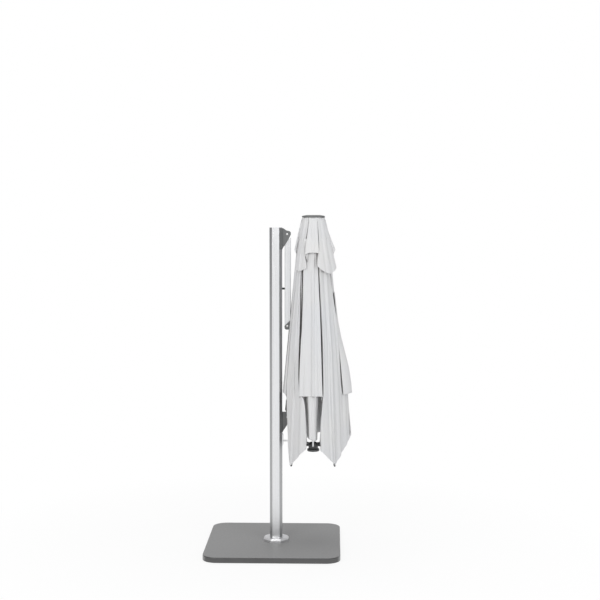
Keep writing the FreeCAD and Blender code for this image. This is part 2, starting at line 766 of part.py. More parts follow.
def reach_at(down):
    """Half the distance between two neighbouring ribs, at the cloth, below the hinges."""
    return (hinge_ring + dim.cloth_out + down * math.tan(lean)) * math.sin(half_pitch)


def gore_panel(i):
    """The cloth between rib i, at local -X, and the next rib, at local +X."""
    first, second = dim.rib_mid, dim.rib_corner
    if i % 2:
        first, second = second, first
    first_margin = dim.cloth_twin if i == TWIN else dim.cloth_side
    second_margin = dim.cloth_twin if i == TWIN - 1 else dim.cloth_side
    top = dim.cloth_top + 190 if i in (TWIN - 1, TWIN) else dim.cloth_top
    panel = prism("XZ_Plane", [
        (-reach_at(top) + first_margin, -top),
        (reach_at(top) - second_margin, -top),
        (reach_at(second * HEM) - second_margin, -second * HEM),
        (-reach_at(first * HEM) + first_margin, -first * HEM)], dim.cloth)
    middle = PITCH * i + PITCH / 2
    angle = math.radians(middle)
    out = (hinge_ring.number + dim.cloth_out.number) * math.cos(half_pitch)
    base = Vector(axis_x.number + out * math.cos(angle), out * math.sin(angle), hinge_z.number)
    panel.Placement = Placement(base, turn("z", middle + 90) * turn("x", -panel_lean))
    return panel


def gore_eyelet(i):
    """The eyelet on the stud and the strap from it to the panel."""
    if i == TWIN:
        strap = [box(12.3, 14, 0, 54, -12, -4), box(12.3, 15, 46, 54, -332, -4),
                 box(-5, 15, 46, 64, -332, -318)]
    else:
        strap_low = -dim.cloth_top - (202 if i == TWIN - 1 else 12)
        strap = [box(12.3, 14, 0, 18, -12, -4), box(12.3, 17, 9, 18, strap_low, -4)]
    eyelet = cut(fuse(cylinder(7.5, 1.7, 12.3, 0, -dim.stud_drop, "x"), *strap),
                 cylinder(rivet + dim.play, 10, 8, 0, -dim.stud_drop, "x"))
    return on_hinge(eyelet, i)


def canopy_gore(i):
    panel = gore_panel(i)
    eyelet = gore_eyelet(i)
    if i in (TWIN - 1, TWIN):
        return fuse(panel, eyelet)
    # The slack cloth between two ribs stands out as one pleat.
    crest = -2 - dim.fold_out
    fold = prism("YZ_Plane", [(-2, -600), (crest, -1500), (crest, -1580), (-2, -1640)], 10)
    fold.Placement = panel.Placement
    return fuse(panel, fold, eyelet)


# ------------------------------------------------------------------ build and export
PIECES = [
    base_cover, base_tray, base_frame, ballast_slabs, base_feet, mast_spigot, spigot_bolts,
    mast_profile, mast_cap, foot_collar, swivel_bushes, head_bracket, head_pin, arm_bumper,
    winch_housing, crank_shaft, winch_drum, crank_arm, crank_grip, head_pulley, pulley_axle,
    lift_rope, brace_profile, brace_ends, boom_profile, boom_foot, boom_head, boom_ear, ear_pin,
    slider_carriage, slider_pin, slider_key, hub_casting, hub_pin, crown_cap, runner,
]
nodes = {build.__name__: build() for build in PIECES}
for build in (rib, strut, canopy_gore):
    for i in range(RIBS):
        nodes["%s_%d" % (build.__name__, i + 1)] = build(i)
for label, obj in nodes.items():
    obj.Label = label

doc.recompute()
bad = [(obj.Name, obj.Label, obj.State) for obj in doc.Objects
       if "Invalid" in obj.State or "Error" in obj.State]
if bad:
    raise RuntimeError("objects failed to recompute: %s" % bad)
for label, obj in nodes.items():
    if obj.Shape.isNull() or not obj.Shape.isValid() or obj.Shape.Volume <= 0:
        raise RuntimeError("%s has no valid shape" % label)
for label, obj in nodes.items():
    obj.Shape.exportStep("parts/%s.step" % label)
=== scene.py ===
"""A square parasol with an eight-ribbed cloth canopy and a small vent roof, built closed.

Metres, +Z up. The ribs hang round the upright line x = AXIS_X, y = 0. Rib 1 faces +X and the
others follow every 45 degrees, anticlockwise seen from above, so rib 7 faces the camera on -Y.
Even ribs run to the corners, odd ribs to the middles of the sides.
"""
import json
import math
from collections import namedtuple
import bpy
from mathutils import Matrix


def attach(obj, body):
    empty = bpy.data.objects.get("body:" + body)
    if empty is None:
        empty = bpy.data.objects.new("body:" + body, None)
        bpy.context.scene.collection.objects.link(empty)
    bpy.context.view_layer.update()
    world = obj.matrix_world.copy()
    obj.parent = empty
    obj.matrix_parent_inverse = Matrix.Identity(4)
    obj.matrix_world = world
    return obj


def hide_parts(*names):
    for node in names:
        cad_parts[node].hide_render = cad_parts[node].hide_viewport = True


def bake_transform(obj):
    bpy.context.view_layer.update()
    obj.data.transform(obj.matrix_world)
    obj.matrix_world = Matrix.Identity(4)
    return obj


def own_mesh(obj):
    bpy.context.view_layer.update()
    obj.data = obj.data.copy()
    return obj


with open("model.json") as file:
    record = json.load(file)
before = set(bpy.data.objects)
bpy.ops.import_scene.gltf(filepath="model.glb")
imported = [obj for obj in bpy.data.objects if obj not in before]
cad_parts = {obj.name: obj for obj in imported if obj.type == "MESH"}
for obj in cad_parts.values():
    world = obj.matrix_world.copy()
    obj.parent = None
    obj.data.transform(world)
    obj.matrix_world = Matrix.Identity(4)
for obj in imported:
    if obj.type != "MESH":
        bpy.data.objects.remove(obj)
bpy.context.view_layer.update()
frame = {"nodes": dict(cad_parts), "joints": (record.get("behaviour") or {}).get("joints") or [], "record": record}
from types import SimpleNamespace

import bmesh
import bpy
import numpy as np
from mathutils import Vector

JOINTS = {j["name"]: j for j in frame["joints"]}


# ---------------------------------------------------------------- node helpers


class Nodes:
    """The node tree of a material or world, emptied and built afresh."""

    def __init__(self, owner, output_kind):
        owner.use_nodes = True
        self.tree = owner.node_tree
        self.tree.nodes.clear()
        self.output = self.node(output_kind)

    def put(self, socket, value):
        """Links an output into a socket, or sets the socket's plain value."""
        if isinstance(value, bpy.types.NodeSocket):
            self.tree.links.new(value, socket)
        else:
            socket.default_value = value

    def node(self, kind, inputs={}, **settings):
        node = self.tree.nodes.new(kind)
        for key, value in settings.items():
            setattr(node, key, value)
        for key, value in inputs.items():
            self.put(node.inputs[key], value)
        return node

    def math(self, operation, *values):
        return self.node("ShaderNodeMath", dict(enumerate(values)), operation=operation).outputs[0]


class Mat(Nodes):
    """A material round one Principled shader."""

    def __init__(self, name):
        self.material = bpy.data.materials.new(name)
        super().__init__(self.material, "ShaderNodeOutputMaterial")
        self.shader = self.node("ShaderNodeBsdfPrincipled")
        self.put(self.output.inputs[0], self.shader.outputs[0])
        self.place = self.node("ShaderNodeTexCoord")

    def set(self, **values):
        for key, value in values.items():
            self.put(self.shader.inputs[key.replace("_", " ")], value)

    def coords(self, stretch=(1, 1, 1)):
        inputs = {"Scale": stretch, "Vector": self.place.outputs["Object"]}
        return self.node("ShaderNodeMapping", inputs).outputs[0]

    def noise(self, scale, detail=3.0, roughness=0.5, stretch=(1, 1, 1)):
        inputs = {"Scale": scale, "Detail": detail, "Roughness": roughness,
                  "Vector": self.coords(stretch)}
        return self.node("ShaderNodeTexNoise", inputs).outputs["Fac"]

    def remap(self, value, to=(0, 1), over=(0.3, 0.7)):
        """Takes the range `over` of a value to the range `to`."""
        inputs = {"From Min": over[0], "From Max": over[1],
                  "To Min": to[0], "To Max": to[1], "Value": value}
        return self.node("ShaderNodeMapRange", inputs).outputs[0]

    def mix(self, factor, first, second):
        """Mixes two colours; inputs 6 and 7 and output 2 are the colour sockets."""
        first, second = [(*c, 1) if isinstance(c, tuple) else c for c in (first, second)]
        inputs = {0: factor, 6: first, 7: second}
        return self.node("ShaderNodeMix", inputs, data_type="RGBA").outputs[2]

    def painted_edge_highlight(self, colour, amount, highlight_colour):
        """Brightens the convex edges: a painted highlight."""
        geometry = self.node("ShaderNodeNewGeometry")
        edges = self.remap(geometry.outputs["Pointiness"], over=(0.52, 0.6))
        return self.mix(self.math("MULTIPLY", edges, amount), colour, highlight_colour)

    def bump(self, height, strength, distance):
        """Adds a bump on top of those already there."""
        inputs = {"Strength": strength, "Distance": distance, "Height": height}
        bump = self.node("ShaderNodeBump", inputs)
        earlier = self.shader.inputs["Normal"].links
        if earlier:
            self.put(bump.inputs["Normal"], earlier[0].from_socket)
        self.set(Normal=bump.outputs[0])

    def mix_shader(self, factor, other):
        """Mixes another shader over the Principled one."""
        inputs = {0: factor, 1: self.shader.outputs[0], 2: other}
        self.put(self.output.inputs[0], self.node("ShaderNodeMixShader", inputs).outputs[0])


def shade(tone, factor, lift=0.0):
    return tuple(min(1.0, c * factor + lift) for c in tone)


# ---------------------------------------------------------------- materials


def anodised(name, tone=(0.70, 0.715, 0.735), rough=0.30, dark=0.92, sides=0.62):
    """Drawn aluminium; `sides` is how far painted shade greys it where it faces along X."""
    m = Mat(name)
    lines = m.noise(scale=1.0, detail=4.0, roughness=0.6, stretch=(420, 420, 1.6))
    cloud = m.noise(scale=3.0, detail=2.0)
    colour = m.mix(m.remap(lines), shade(tone, dark), tone)
    colour = m.mix(m.remap(cloud, to=(0.0, 0.35)), colour, shade(tone, 0.9))
    # painted highlight: the convex edges are lightened
    colour = m.painted_edge_highlight(colour, amount=0.5, highlight_colour=(0.95, 0.95, 0.95))
    # painted shade: where the surface faces along X, the colour is mixed towards dark grey
    normal = m.node("ShaderNodeSeparateXYZ", {0: m.place.outputs["Normal"]})
    sideways = m.math("ABSOLUTE", normal.outputs["X"])
    grey = (0.20, 0.205, 0.21)
    colour = m.mix(m.remap(sideways, to=(0.0, sides), over=(0.05, 0.6)), colour, grey)
    m.set(Base_Color=colour, Metallic=0.9,
          Roughness=m.remap(lines, to=(rough - 0.05, rough + 0.09)))
    m.bump(lines, strength=0.06, distance=0.0004)
    return m.material


def powder(name, tone, rough=0.5, grain=900.0, strength=0.12, edge=0.25, painted_sheen=None):
    """Powder coat; an optional paler grey is painted on at glancing angles, a painted sheen that lightens the top
    faces.
    """
    m = Mat(name)
    fine = m.noise(scale=grain, detail=2.0, roughness=0.6)
    cloud = m.noise(scale=4.0, detail=3.0, roughness=0.6)
    colour = m.mix(m.remap(cloud), shade(tone, 0.88), shade(tone, 1.12))
    # painted highlight: the convex edges are lightened
    colour = m.painted_edge_highlight(colour, edge, shade(tone, 2.2, lift=0.05))
    # painted sheen: paler grey towards glancing angles, which lightens the top faces
    if painted_sheen:
        facing = m.node("ShaderNodeLayerWeight", {"Blend": 0.5}).outputs["Facing"]
        colour = m.mix(m.remap(facing, over=(0.42, 0.74)), colour, (painted_sheen, painted_sheen, painted_sheen))
    m.set(Base_Color=colour,
          Roughness=m.remap(m.noise(scale=60.0), to=(rough - 0.06, rough + 0.08)))
    m.bump(fine, strength=strength, distance=0.0006)
    return m.material


def plastic(name, tone, rough):
    m = Mat(name)
    colour = m.mix(m.remap(m.noise(scale=12.0)), shade(tone, 0.85), shade(tone, 1.15))
    # painted highlight: the convex edges are lightened
    colour = m.painted_edge_highlight(colour, amount=0.2, highlight_colour=shade(tone, 2, lift=0.03))
    speckle = m.noise(scale=140.0, detail=2.0)
    m.set(Base_Color=colour, Roughness=m.remap(speckle, to=(rough - 0.07, rough + 0.1)))
    m.bump(m.noise(scale=700.0, detail=1.0), strength=0.10, distance=0.0005)
    return m.material


def concrete(name):
    m = Mat(name)
    rough = m.noise(scale=18.0, detail=6.0, roughness=0.7)
    grit = m.node("ShaderNodeTexVoronoi", {"Scale": 160.0, "Vector": m.coords()})
    colour = m.mix(m.remap(rough), (0.40, 0.39, 0.37), (0.55, 0.54, 0.51))
    spots = m.remap(grit.outputs["Distance"], to=(0.5, 0.0), over=(0.0, 0.25))
    m.set(Base_Color=m.mix(spots, colour, (0.33, 0.32, 0.31)), Roughness=0.9)
    m.bump(rough, strength=0.5, distance=0.002)
    return m.material


def steel(name, tone=(0.62, 0.62, 0.61), rough=0.35):
    m = Mat(name)
    streaks = m.noise(scale=40.0, detail=4.0, roughness=0.6, stretch=(1, 1, 6))
    m.set(Base_Color=m.mix(m.remap(streaks), shade(tone, 0.85), tone), Metallic=1.0,
          Roughness=m.remap(streaks, to=(rough - 0.1, rough + 0.12)))
    m.bump(m.noise(scale=300.0, detail=2.0), strength=0.05, distance=0.0004)
    return m.material


def awning_cloth(name, tone=(0.79, 0.795, 0.805)):
    """A plain weave on the cloth's own coordinates, with slub, sheen and light through it."""
    m = Mat(name)
    own = m.node("ShaderNodeUVMap", uv_map="cloth").outputs[0]
    threads = {"Scale": 190.0, "Distortion": 0.6, "Detail": 1.0, "Detail Scale": 3.0,
               "Vector": own}
    warp, weft = [m.node("ShaderNodeTexWave", threads, wave_type="BANDS", bands_direction=axis,
                         wave_profile="SIN").outputs["Fac"] for axis in ("X", "Y")]
    weave = m.math("MULTIPLY", warp, weft)
    slub = m.noise(scale=1.0, detail=3.0, roughness=0.6, stretch=(60, 60, 9))
    cloud = m.noise(scale=2.2, detail=3.0, roughness=0.55)
    cool = tuple(np.multiply(tone, (0.965, 0.97, 0.985)))
    warm = tuple(np.multiply(tone, (1.03, 1.02, 1.0)))
    colour = m.mix(m.remap(cloud), cool, warm)
    colour = m.mix(m.remap(slub, to=(0.0, 0.10), over=(0.35, 0.75)), colour, shade(tone, 0.80))
    colour = m.mix(m.math("MULTIPLY", weave, 0.06), colour, shade(tone, 0.62))
    # painted shade: the depths of the folds are painted dark brown where ambient occlusion finds them hollow
    painted_fold_shade = m.node("ShaderNodeAmbientOcclusion", {"Distance": 0.11}, samples=6).outputs["AO"]
    colour = m.mix(m.remap(painted_fold_shade, to=(0.93, 0.0), over=(0.10, 0.50)), colour,
                   (0.085, 0.070, 0.062))
    m.set(Base_Color=colour, Roughness=0.86, Sheen_Weight=0.25, Sheen_Roughness=0.5,
          Specular_IOR_Level=0.25)
    m.bump(weave, strength=0.25, distance=0.0005)
    m.bump(slub, strength=0.12, distance=0.0012)
    through = m.node("ShaderNodeBsdfTranslucent", {"Color": colour})
    m.mix_shader(0.16, through.outputs[0])
    return m.material


MATS = {
    # the base's coat gets a painted sheen that lightens its top
    "base_grey": powder("base_powder_grey", tone=(0.075, 0.075, 0.075), rough=0.42, grain=700.0,
                        strength=0.16, edge=0.10, painted_sheen=0.27),
    "steel_dark": powder("frame_black_paint", tone=(0.03, 0.03, 0.032)),
    "concrete": concrete("paving_concrete"),
    "rubber": plastic("black_rubber", tone=(0.02, 0.02, 0.02), rough=0.7),
    "steel_zinc": steel("zinc_steel"),
    "anodised": anodised("anodised_aluminium"),
    "polished": anodised("bright_aluminium", tone=(0.93, 0.93, 0.95), rough=0.38, dark=0.97,
                         sides=0.08),
    "pom": plastic("black_slide_plastic", tone=(0.05, 0.05, 0.05), rough=0.4),
    "casting": powder("casting_dark_grey", tone=(0.085, 0.088, 0.088), rough=0.45, grain=800.0,
                      strength=0.2, edge=0.3),
    "rope": powder("rope_weave", tone=(0.7, 0.7, 0.66), rough=0.85),
    "black_plastic": plastic("black_moulding", tone=(0.022, 0.022, 0.024), rough=0.42),
    "cloth": awning_cloth("awning_cloth"),
}


def dress_cad_pieces():
    slots = {s["node"]: s["material_slot"] for s in frame["record"]["subparts"]}
    for name, obj in frame["nodes"].items():
        material = MATS[slots[name]]
        if not obj.material_slots:
            obj.data.materials.append(material)
        for slot in obj.material_slots:
            slot.material = material


dress_cad_pieces()

# ---------------------------------------------------------------- the canopy's dimensions
# Along a rib, `down` is measured from its hinge, `across` sideways (anticlockwise is plus)
# and `out` away from the canopy's axis.
AXIS_X = 0.324
JOINT_SLACK = 0.02       # degrees short of each joint's stop
HINGE = np.array(JOINTS["rib_1_open"]["pos_m"], float)
RING, HINGE_Z = HINGE[0] - AXIS_X, HINGE[2]
LEAN = math.asin(JOINTS["gore_1_spread"]["axis"][2])  # a closed rib's slope from upright
OPEN_LEAN = LEAN + math.radians(JOINTS["rib_1_open"]["range_deg"][1] - JOINT_SLACK)
SPREAD = math.radians(JOINTS["gore_1_spread"]["range_deg"][1] - JOINT_SLACK)
# how far down a rib its gore's spread pivot lies
PIVOT = float(np.linalg.norm(np.array(JOINTS["gore_1_spread"]["pos_m"], float) - HINGE))
HALF_GORE = math.radians(22.5)
SIDE_HEM = 1.485         # spread pivot to hem, along a side rib
VENT_CORNER = 0.345      # spread pivot to the vent's hem, in the middle plane
CORNER_RIB, SIDE_RIB = 2.085, 1.475
DROOP, DROOP_FROM = 0.045, 1.05  # a corner rib's inward bend at its tip, and where it starts
APEX = RING / math.sin(OPEN_LEAN)
OPEN_GORE = 2 * math.asin(math.sin(OPEN_LEAN) * math.sin(HALF_GORE))
MIDDLE_ANGLE = 0.3825    # about the pivot, from an open rib to the middle plane at the hem
EDGE_SHARE = 0.93        # the panel's edge stays within this share of the middle angle
SLIT_RIB = 5             # the main cloth is slit along this rib
MIN_PANEL = 0.006
MIN_INNER = 0.0085       # the folds stay this far from the rib's line
CLOTH_THICK = 0.0014


def table(points):
    """Interpolates between (down, value) points."""
    downs, values = zip(*points)
    return lambda down: np.interp(down, downs, values)


def half_gap(down, out):
    """Closed: the distance across from a rib to the middle plane between it and the next."""
    return math.tan(HALF_GORE) * (RING + down * math.sin(LEAN) + out * math.cos(LEAN))


def gap_share(share):
    return lambda down: share * half_gap(down, 0.03)


def mirror(by_rib, ribs=(6, 7, 8)):
    """Copies -Y ribs to their +Y partners; a (minus side, plus side) pair swaps over."""
    for rib in ribs:
        value = by_rib[rib]
        by_rib[10 - rib] = value[::-1] if isinstance(value, tuple) else value
    return by_rib


# Half-widths of the flat panels by rib, on the minus and the plus side: (down, half-width).
MAIN_WIDTHS = mirror({
    1: (gap_share(0.80), gap_share(0.80)),
    5: (gap_share(0.92), gap_share(0.92)),
    6: (table([(0.15, 0.036), (0.45, 0.050), (0.67, 0.060), (1.07, 0.078), (1.42, 0.104),
               (1.63, 0.090), (1.91, 0.052), (2.06, 0.033), (2.1, 0.026)]),
        table([(0.15, 0.0095), (0.50, 0.0105), (0.59, 0.0157), (0.73, 0.0300), (0.93, 0.0415),
               (1.07, 0.0443), (1.2, 0.0440), (1.34, 0.0510), (1.46, 0.0720), (1.51, 0.128),
               (1.6, 0.146), (1.83, 0.175), (2.1, 0.172)])),
    7: (table([(0.15, 0.074), (0.45, 0.0875), (0.66, 0.0870), (0.79, 0.0934), (0.93, 0.0985),
               (1.0, 0.1050), (1.13, 0.1113), (1.27, 0.1178), (1.46, 0.121), (1.52, 0.123)]),
        table([(0.15, 0.038), (0.45, 0.0475), (0.59, 0.0535), (0.72, 0.0625), (0.86, 0.0675),
               (1.06, 0.0735), (1.27, 0.0795), (1.46, 0.0868), (1.52, 0.090)])),
    8: (table([(0.15, 0.052), (0.45, 0.0653), (0.65, 0.0717), (0.86, 0.0792), (1.0, 0.0845),
               (1.13, 0.0890), (1.27, 0.0950), (1.40, 0.0990), (1.47, 0.104), (1.55, 0.116),
               (1.7, 0.148), (1.83, 0.156), (2.1, 0.158)]),
        table([(0.15, 0.040), (0.45, 0.052), (0.67, 0.076), (1.07, 0.133), (1.42, 0.214),
               (1.63, 0.229), (1.84, 0.251), (2.1, 0.262)])),
})
VENT_SIDE = table([(-0.03, 0.034), (0.0, 0.036), (0.27, 0.052)])
VENT_WIDTHS = mirror({
    1: (VENT_SIDE, VENT_SIDE),
    5: (VENT_SIDE, VENT_SIDE),
    6: (table([(-0.03, 0.038), (0.0, 0.040), (0.27, 0.0410), (0.35, 0.0435), (0.41, 0.0440),
               (0.46, 0.044)]),
        table([(-0.03, 0.037), (0.0, 0.0395), (0.07, 0.0440), (0.19, 0.0430), (0.25, 0.0460),
               (0.30, 0.0548), (0.37, 0.0758), (0.46, 0.090)])),
    7: (table([(-0.03, 0.036), (0.0, 0.0376), (0.13, 0.0530), (0.25, 0.0690), (0.28, 0.0690)]),
        table([(-0.03, 0.034), (0.0, 0.0350), (0.13, 0.0435), (0.25, 0.0510), (0.28, 0.051)])),
    8: (table([(-0.03, 0.042), (0.0, 0.0455), (0.07, 0.0550), (0.19, 0.0665), (0.25, 0.0750),
               (0.316, 0.1013), (0.37, 0.1127), (0.46, 0.1230)]),
        table([(-0.03, 0.036), (0.0, 0.040), (0.12, 0.060), (0.27, 0.089), (0.37, 0.0977),
               (0.42, 0.110), (0.46, 0.110)])),
})
# How far the vent roof stands out from each rib: (down, out).
VENT_STAND = mirror({
    1: table([(-0.03, 0.0085), (0.0, 0.0155), (0.09, 0.0290), (0.16, 0.046), (0.256, 0.0765)]),
    5: table([(-0.03, 0.0085), (0.0, 0.016), (0.09, 0.0285), (0.16, 0.037), (0.253, 0.048)]),
    6: table([(-0.03, 0.0085), (0.0, 0.0155), (0.09, 0.0285), (0.25, 0.040), (0.43, 0.047)]),
    7: table([(-0.03, 0.0085), (0.0, 0.0155), (0.09, 0.0290), (0.27, 0.060)]),
    8: table([(-0.03, 0.0085), (0.0, 0.0155), (0.09, 0.0285), (0.25, 0.046), (0.45, 0.075)]),
})
# How far down each rib the vent roof's hem lies.
VENT_HEM = mirror({1: 0.256, 5: 0.253, 6: 0.432, 7: 0.272, 8: 0.455})

# Creases by rib, on the minus and the plus side: (across at the top, at the hem, depth).
MAIN_CREASES = mirror({
    1: ([(0.020, 0.040, 0.006)], [(0.020, 0.040, 0.006)]),
    5: ([(0.05, 0.07, 0.005)], [(0.05, 0.07, 0.005)]),
    6: ([(0.016, 0.034, 0.007), (0.036, 0.066, 0.006)], [(0.006, 0.026, 0.006)]),
    7: ([(0.019, 0.019, 0.0085), (0.050, 0.092, 0.006)],
        [(0.018, 0.030, 0.006), (0.034, 0.058, 0.007)]),
    8: ([(0.024, 0.050, 0.008)], [(0.020, 0.040, 0.007), (0.045, 0.105, 0.008)]),
})
# Rib 3 has no vent creases, unlike its partner rib 7.
VENT_CREASES = mirror({
    6: ([(0.014, 0.020, 0.004)], [(0.018, 0.030, 0.005)]),
    7: ([(0.018, 0.028, 0.003)], [(0.012, 0.022, 0.003)]),
    8: ([(0.020, 0.042, 0.006)], [(0.016, 0.044, 0.006)]),
}, ribs=(6, 8))


class RibAxes:
    """A closed rib's hinge and its unit directions down, across and out."""

    def __init__(self, rib):
        turn = math.radians(45 * (rib - 1))
        radial = np.array([math.cos(turn), math.sin(turn), 0.0])
        self.hinge = np.array([AXIS_X, 0, HINGE_Z]) + RING * radial
        self.down = math.sin(LEAN) * radial + np.array([0, 0, -math.cos(LEAN)])
        self.across = np.array([-math.sin(turn), math.cos(turn), 0.0])
        self.out = math.cos(LEAN) * radial + np.array([0, 0, math.sin(LEAN)])

    def point(self, down, across=0.0, out=0.0):
        down, across, out = (np.asarray(v)[..., None] for v in (down, across, out))
        return self.hinge + down * self.down + across * self.across + out * self.out


def is_corner(rib):
    return rib % 2 == 0


def open_middle_angle(radius, out):
    """Open: the angle about the pivot at which a point this far out meets the middle plane."""
    angle = np.full_like(radius, 0.38)
    for _ in range(30):
        along = PIVOT + radius * np.cos(angle)
        reach = RING + along * math.sin(OPEN_LEAN) + out * math.cos(OPEN_LEAN)
        gap = math.tan(HALF_GORE) * reach
        angle = np.arcsin(np.clip(gap / np.maximum(radius, 1e-4), -0.999, 0.999))
    return angle


# ---------------------------------------------------------------- the two kinds of cloth


def main_panel_out(rib, down, across):
    if not is_corner(rib):
        return 0.030 - 0.9 * across * across
    bend = DROOP * np.clip((down - DROOP_FROM) / (CORNER_RIB - DROOP_FROM), 0, 1.02)
    return 0.030 - bend - 0.55 * across * across


def vent_panel_out(rib, down, across):
    return VENT_STAND[rib](down) - (1.2 if is_corner(rib) else 0.6) * across * across


def main_fold_outs(down, edge_out):
    """`out` at the middle plane and at the fold's inner turn."""
    return np.interp(down, (0.15, 0.5, 1.3, 2.1), (-0.010, -0.026, -0.032, -0.030)), -0.012


def vent_fold_outs(down, edge_out):
    hang = np.interp(down, (-0.03, 0.02, 0.09, 0.45), (0.000, 0.004, 0.016, 0.012))
    middle_out = np.minimum(edge_out - 0.006, hang)
    return middle_out, 0.5 * (edge_out + middle_out)


def main_hem(rib, angle):
    """Distance from the spread pivot to the straight open hem, at an angle from the rib."""
    if not is_corner(rib):
        return SIDE_HEM / np.cos(angle)
    return (SIDE_HEM + APEX - APEX * math.cos(OPEN_GORE)) / np.cos(OPEN_GORE - angle)


def vent_hem(rib, angle):
    share = np.clip(np.abs(angle) / MIDDLE_ANGLE, 0, 1)
    low = VENT_HEM[rib] - PIVOT
    if is_corner(rib):
        return low - (low - VENT_CORNER) * (0.6 * share ** 1.3 + 0.4 * share ** 8)
    return low + (VENT_CORNER - low) * share ** 3


# top and hem_guess are distances down; hem_band is the hem's depth; ripple is its height by
# distance down; sag is the most the cloth may settle; crease_* shape the creases.
MAIN = SimpleNamespace(
    name="canopy_panel_%d", widths=MAIN_WIDTHS, panel_out=main_panel_out,
    fold_outs=main_fold_outs, hem=main_hem, top=0.15, hem_guess=1.6, hem_band=0.024,
    panel_steps=22, fold_steps=18, row_steps=56, sag=0.010,
    ripple=table([(0.2, 0.0008), (0.6, 0.0022), (1.5, 0.0052), (2.1, 0.0056)]),
    creases=MAIN_CREASES, crease_span=(0.3, 1.5), crease_drift=0.0025, crease_width=0.0085,
    crease_depth=table([(0.25, 0.15), (0.8, 0.6), (1.4, 1.0)]))
VENT = SimpleNamespace(
    name="vent_roof_%d", widths=VENT_WIDTHS, panel_out=vent_panel_out,
    fold_outs=vent_fold_outs, hem=vent_hem, top=-0.031, hem_guess=0.35, hem_band=0.014,
    panel_steps=12, fold_steps=12, row_steps=20, sag=0.005,
    ripple=table([(0.0, 0.0004), (0.1, 0.0012), (0.45, 0.0030)]),
    creases=VENT_CREASES, crease_span=(0.0, 0.43), crease_drift=0.0, crease_width=0.0065,
    crease_depth=table([(0.0, 0.25), (0.12, 0.7), (0.4, 1.0)]))


def creases(cloth, rib, side, across, down):
    """Narrow grooves that slant across the hanging cloth."""
    out = 0 * across
    for top, low, deep in cloth.creases.get(rib, ((), ()))[side > 0]:
        centre = (np.interp(down, cloth.crease_span, (top, low))
                  + cloth.crease_drift * np.sin(4.1 * down + 9 * top))
        groove = np.exp(-((across - centre) / cloth.crease_width) ** 2)
        out = out - deep * cloth.crease_depth(down) * groove
    if cloth is MAIN:
        out = out * np.clip((across - 0.004) / 0.008, 0, 1)
    return out


def ripple(rib, side, across, down, height):
    """Soft hanging folds: three waves across the cloth that drift as they go down."""
    phase = 1.7 * rib + (0.9 if side > 0 else 2.3)
    x = 2 * math.pi * (across * side)
    medium = np.sin(x / 0.083 + phase + 1.1 * np.sin(2.3 * down + phase))
    short = np.sin(x / 0.047 + 2.1 * phase + 1.7 * np.sin(1.6 * down + 0.5 * phase))
    long = np.sin(x / 0.15 - phase + 0.8 * down)
    return height * (medium * 0.55 + short * 0.30 + long * 0.45)


